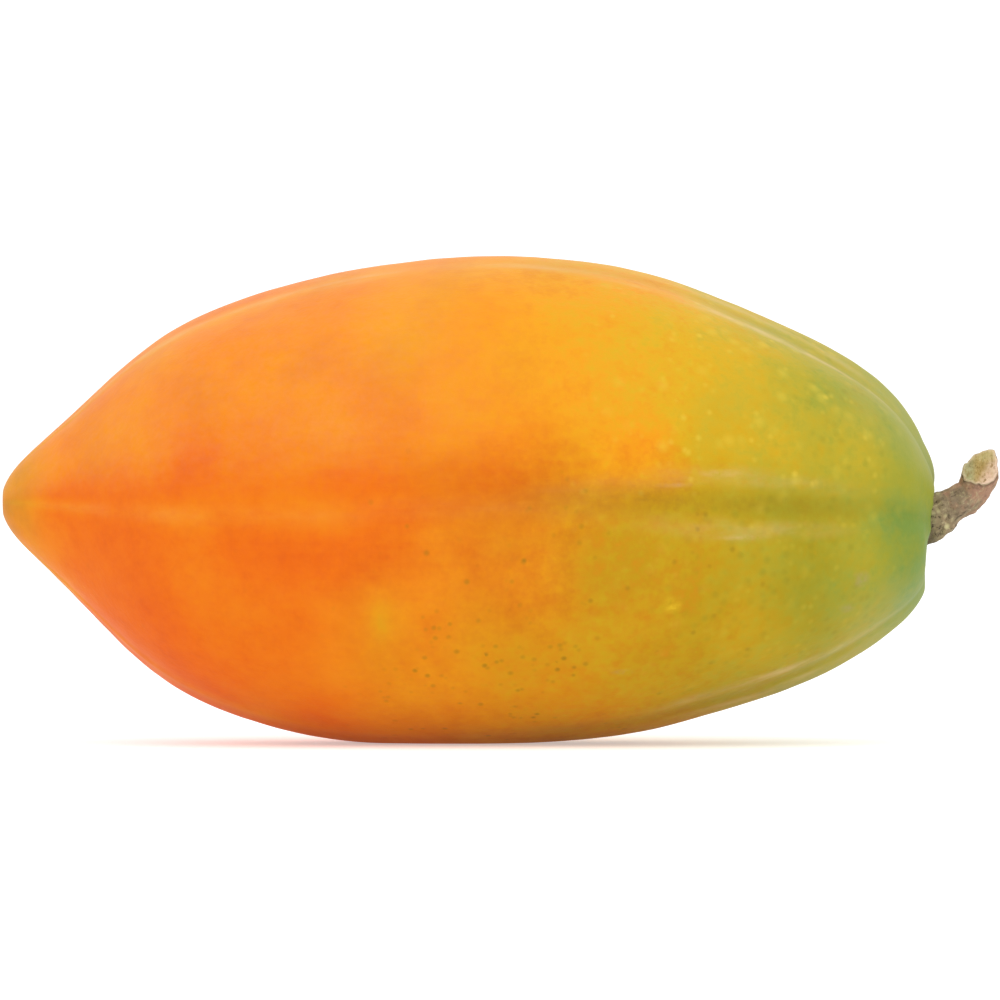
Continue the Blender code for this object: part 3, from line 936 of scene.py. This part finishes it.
class StalkPaint(Sheet):
    """The stalk's paint: bark up to the rim of the break, and wood past it."""

    def __init__(self, material, colours):
        super().__init__(material)
        self.colours = colours
        self.place = self.node("ShaderNodeTexCoord", output="Object")
        self.straight = self.attribute("bark_place", "Vector")
        self.broken = self.attribute("broken")
        fibres = self.mapped(self.straight, (5.0, 1.0, 1.0))
        self.fibres = self.noise(fibres, 0.0011, 3.0, 0.65)
        self.blotches = self.noise(self.straight, 0.0042, 3.0, 0.6)

    def bark(self):
        """Mottled fibrous bark, olive at its foot, with dark cracks and pits, pale corky crumbs and
        dots, a dark line where the stalk leaves the fruit, and a painted shadow line along the rim
        of the break. Returns the dots and cracks as well."""
        colours = self.colours
        way = self.attribute("way")
        crumbs = self.noise(self.straight, 0.0013, 3.0, 0.7)
        pink = self.step(self.blotches + self.step(way, 0.014, 0.022) * 0.5, -0.05, 0.55)
        foot = self.step(way, 0.0150, 0.0085)
        cracks = self.step(self.fibres + self.blotches * 0.3, -0.15, -0.60)
        pits = self.step(crumbs, -0.02, -0.34) * (0.40 + 0.60 * foot)
        flecks = self.dots(self.straight, 0.0021, 0.0012, 0.70, 0.60) * (0.20 + 0.80 * foot)
        bark = self.mix(pink, colours.bark, colours.bark_pink)
        coats = (
            (foot * 0.60, colours.bark_foot),
            (self.step(self.fibres, 0.05, 0.55) * 0.40, colours.bark_pale),
            (self.step(crumbs, 0.10, 0.45) * 0.60, colours.bark_pale),
            (cracks * 0.75 + pits * 0.95, colours.bark_dark),
            (flecks * 0.80, colours.bark_flecks),
            (self.step(way, 0.0066, 0.0048) * 0.6, colours.bark_dark),
            # Painted shadow: a dark line on the bark along the rim of the break.
            (self.step(self.broken, -0.0012, -0.0003) * 0.45, colours.bark_dark),
        )
        for strength, colour in coats:
            bark = self.mix(strength, bark, colour)
        return bark, flecks, cracks

    def wood(self):
        """The broken face: green cream, over ochre, to a pinkish cream lip, paler at the top
        and along torn fibres, darker in its hollows."""
        colours = self.colours
        stretched = self.mapped(self.place, (1.0, 1.0, 3.5))
        grain = self.noise(stretched, 0.001, 3.0, 0.6)
        upward = self.part(self.straight, "Z")
        outward = self.part(self.straight, "X") + grain * 0.0014
        lip = self.step(outward - upward * 0.6, 0.0302, 0.0345)
        top = self.step(upward + grain * 0.0010, 0.0012, 0.0036)
        green = self.step(outward, 0.0272, 0.0298)
        wood = self.mix(green, colours.wood_green, colours.wood)
        coats = (
            (lip * 0.90, colours.wood_cream),
            (top * 0.55, colours.wood_top),
            (self.step(grain, -0.02, -0.45) * 0.80, colours.wood_hollow),
            (self.step(grain, 0.12, 0.45) * 0.45, colours.wood_ridge),
            (self.step(self.broken, 0.22, 0.05) * 0.35, colours.wood_cream),
        )
        for strength, colour in coats:
            wood = self.mix(strength, wood, colour)
        return wood

    def paint(self):
        """Joins bark and wood at the rim. Roughness and relief follow the same noise."""
        bark, flecks, cracks = self.bark()
        grain = self.noise(self.place, 0.0008)
        height = self.fibres * 0.6 + self.blotches * 0.3 + grain * 0.3 + flecks * 0.5
        height = height - cracks * 0.6
        paint = self.mix(self.step(self.broken, 0.0002, 0.0008), bark, self.wood())
        self.surface(paint, 0.78 + grain * 0.08, height, depth=0.00025, specular=0.30)


def add_piece(mesh, replaced):
    """Links a finished mesh as a piece that rides on the root and stands for a CAD node.
    Returns a new material on it, ready to be painted."""
    piece = bpy.data.objects.new(mesh.name, mesh)
    bpy.context.scene.collection.objects.link(piece)
    material = bpy.data.materials.new(mesh.name + "_paint")
    mesh.materials.append(material)
    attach(piece, "root")
    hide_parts(replaced)
    return material


class MESH_OT_papaya_fruit(bpy.types.Operator):
    """Make the papaya's skin where its solid lies, and paint it"""

    bl_idname = "mesh.papaya_fruit"
    bl_label = "Papaya Fruit"

    def execute(self, context):
        sizes, colours = context.scene.papaya_sizes, context.scene.papaya_colours
        mesh, shift = make_skin_mesh(sizes)
        material = add_piece(mesh, "fruit")
        SkinPaint(material, colours, sizes, shift).paint()
        return {"FINISHED"}


class MESH_OT_papaya_stalk(bpy.types.Operator):
    """Make the stalk's stub where its solid stands, and paint its bark and its broken face"""

    bl_idname = "mesh.papaya_stalk"
    bl_label = "Papaya Stalk"

    def execute(self, context):
        sizes, colours = context.scene.papaya_sizes, context.scene.papaya_colours
        nearly_round = np.linspace(0.0, 6.28, 120)
        coarse = grid_of(np.linspace(0.0, 1.0, 400), nearly_round)
        points, _, _ = fruit_surface(sizes, *coarse)
        mesh = make_stalk_mesh(sizes, fruit_shift(points, sizes.rest_depth))
        material = add_piece(mesh, "stem")
        StalkPaint(material, colours).paint()
        return {"FINISHED"}


class SCENE_OT_papaya_stage(bpy.types.Operator):
    """Set the papaya on a plain pale floor in soft light, with a camera in front of it"""

    bl_idname = "scene.papaya_stage"
    bl_label = "Papaya Stage"

    def execute(self, context):
        stage = context.scene.papaya_stage
        context.scene.view_settings.view_transform = "Standard"
        self.add_floor(context, stage)
        self.add_room_light(context, stage)
        self.add_soft_box(context, stage)
        self.add_camera(context, stage)
        return {"FINISHED"}

    def add_floor(self, context, stage):
        mesh = bpy.data.meshes.new("floor")
        corners = 4.0 * np.array(((-1, -1, 0), (1, -1, 0), (1, 1, 0), (-1, 1, 0)))
        mesh.from_pydata(corners, [], [(0, 1, 2, 3)])
        floor = bpy.data.objects.new("floor", mesh)
        context.scene.collection.objects.link(floor)
        material = bpy.data.materials.new("floor_paint")
        mesh.materials.append(material)
        sheet = Sheet(material)
        seen = sheet.node("ShaderNodeLightPath", output="Is Camera Ray")
        sockets = {
            "Base Color": opaque(stage.floor),
            "Roughness": 0.9,
            "Specular IOR Level": 0.1,
            "Emission Color": sheet.mix(seen, [stage.floor_glow] * 3, [stage.floor_haze] * 3),
            "Emission Strength": 1.0,
        }
        shader = sheet.node("ShaderNodeBsdfPrincipled", None, sockets)
        sheet.node("ShaderNodeOutputMaterial", None, {"Surface": shader})

    def add_room_light(self, context, stage):
        world = bpy.data.worlds.new("room")
        sheet = Sheet(world)
        direction = sheet.node("ShaderNodeTexCoord", output="Generated")
        in_front = sheet.step(sheet.part(direction, "Y"), -0.2, -0.8)
        low_down = sheet.step(sheet.part(direction, "Z"), 0.75, 0.25)
        lit = stage.room_light * (1 - stage.dim_side * (in_front * low_down))
        seen = sheet.node("ShaderNodeLightPath", output="Is Camera Ray")
        strength = seen * stage.backdrop + (1 - seen) * lit
        sockets = {"Color": opaque((1.0, 1.0, 1.0)), "Strength": strength}
        light = sheet.node("ShaderNodeBackground", None, sockets)
        sheet.node("ShaderNodeOutputWorld", None, {"Surface": light})
        context.scene.world = world

    def add_soft_box(self, context, stage):
        lamp = bpy.data.lights.new("soft_box", "AREA")
        lamp.shape = "RECTANGLE"
        lamp.size, lamp.size_y = 1.6, 1.0
        lamp.energy = stage.soft_box
        box = bpy.data.objects.new("soft_box", lamp)
        box.location = (0.0, -0.70, 1.05)
        aim = Vector((0.0, 0.0, 0.07)) - box.location
        box.rotation_euler = aim.to_track_quat("-Z", "Y").to_euler()
        context.scene.collection.objects.link(box)

    def add_camera(self, context, stage):
        low, high = (Vector(corner) for corner in CAD_BOX)
        target = (low + high) / 2
        lens = bpy.data.cameras.new("camera")
        lens.lens = stage.lens
        lens.sensor_width = 36.0
        lens.clip_end = 30.0
        distance = (high.x - low.x) * FRAME_MARGIN * stage.lens / lens.sensor_width
        camera = bpy.data.objects.new("camera", lens)
        view = Vector((0.0, -math.cos(stage.elevation), math.sin(stage.elevation)))
        camera.location = target + view * distance
        camera.rotation_euler = (-view).to_track_quat("-Z", "Y").to_euler()
        context.scene.collection.objects.link(camera)
        context.scene.camera = camera


class VIEW3D_PT_papaya(bpy.types.Panel):
    """Lists the papaya's pieces and its stage"""

    bl_idname = "VIEW3D_PT_papaya"
    bl_label = "Papaya"
    bl_space_type = "VIEW_3D"
    bl_region_type = "UI"
    bl_category = "Papaya"

    def draw(self, context):
        for operator in OPERATORS:
            self.layout.operator(operator)
        for title in GROUPS:
            group = getattr(context.scene, title)
            for name in group.__annotations__:
                self.layout.prop(group, name)


OPERATORS = ("mesh.papaya_fruit", "mesh.papaya_stalk", "scene.papaya_stage")
GROUPS = {
    "papaya_sizes": PapayaSizes,
    "papaya_colours": PapayaColours,
    "papaya_stage": PapayaStage,
}
CLASSES = (
    *GROUPS.values(),
    MESH_OT_papaya_fruit,
    MESH_OT_papaya_stalk,
    SCENE_OT_papaya_stage,
    VIEW3D_PT_papaya,
)


def register():
    for item in CLASSES:
        bpy.utils.register_class(item)
    for name, group in GROUPS.items():
        setattr(bpy.types.Scene, name, PointerProperty(type=group))


def unregister():
    for name in GROUPS:
        delattr(bpy.types.Scene, name)
    for item in reversed(CLASSES):
        bpy.utils.unregister_class(item)


def main():
    register()
    bpy.ops.mesh.papaya_fruit()
    bpy.ops.mesh.papaya_stalk()
    bpy.ops.scene.papaya_stage()


if __name__ == "__main__":
    main()
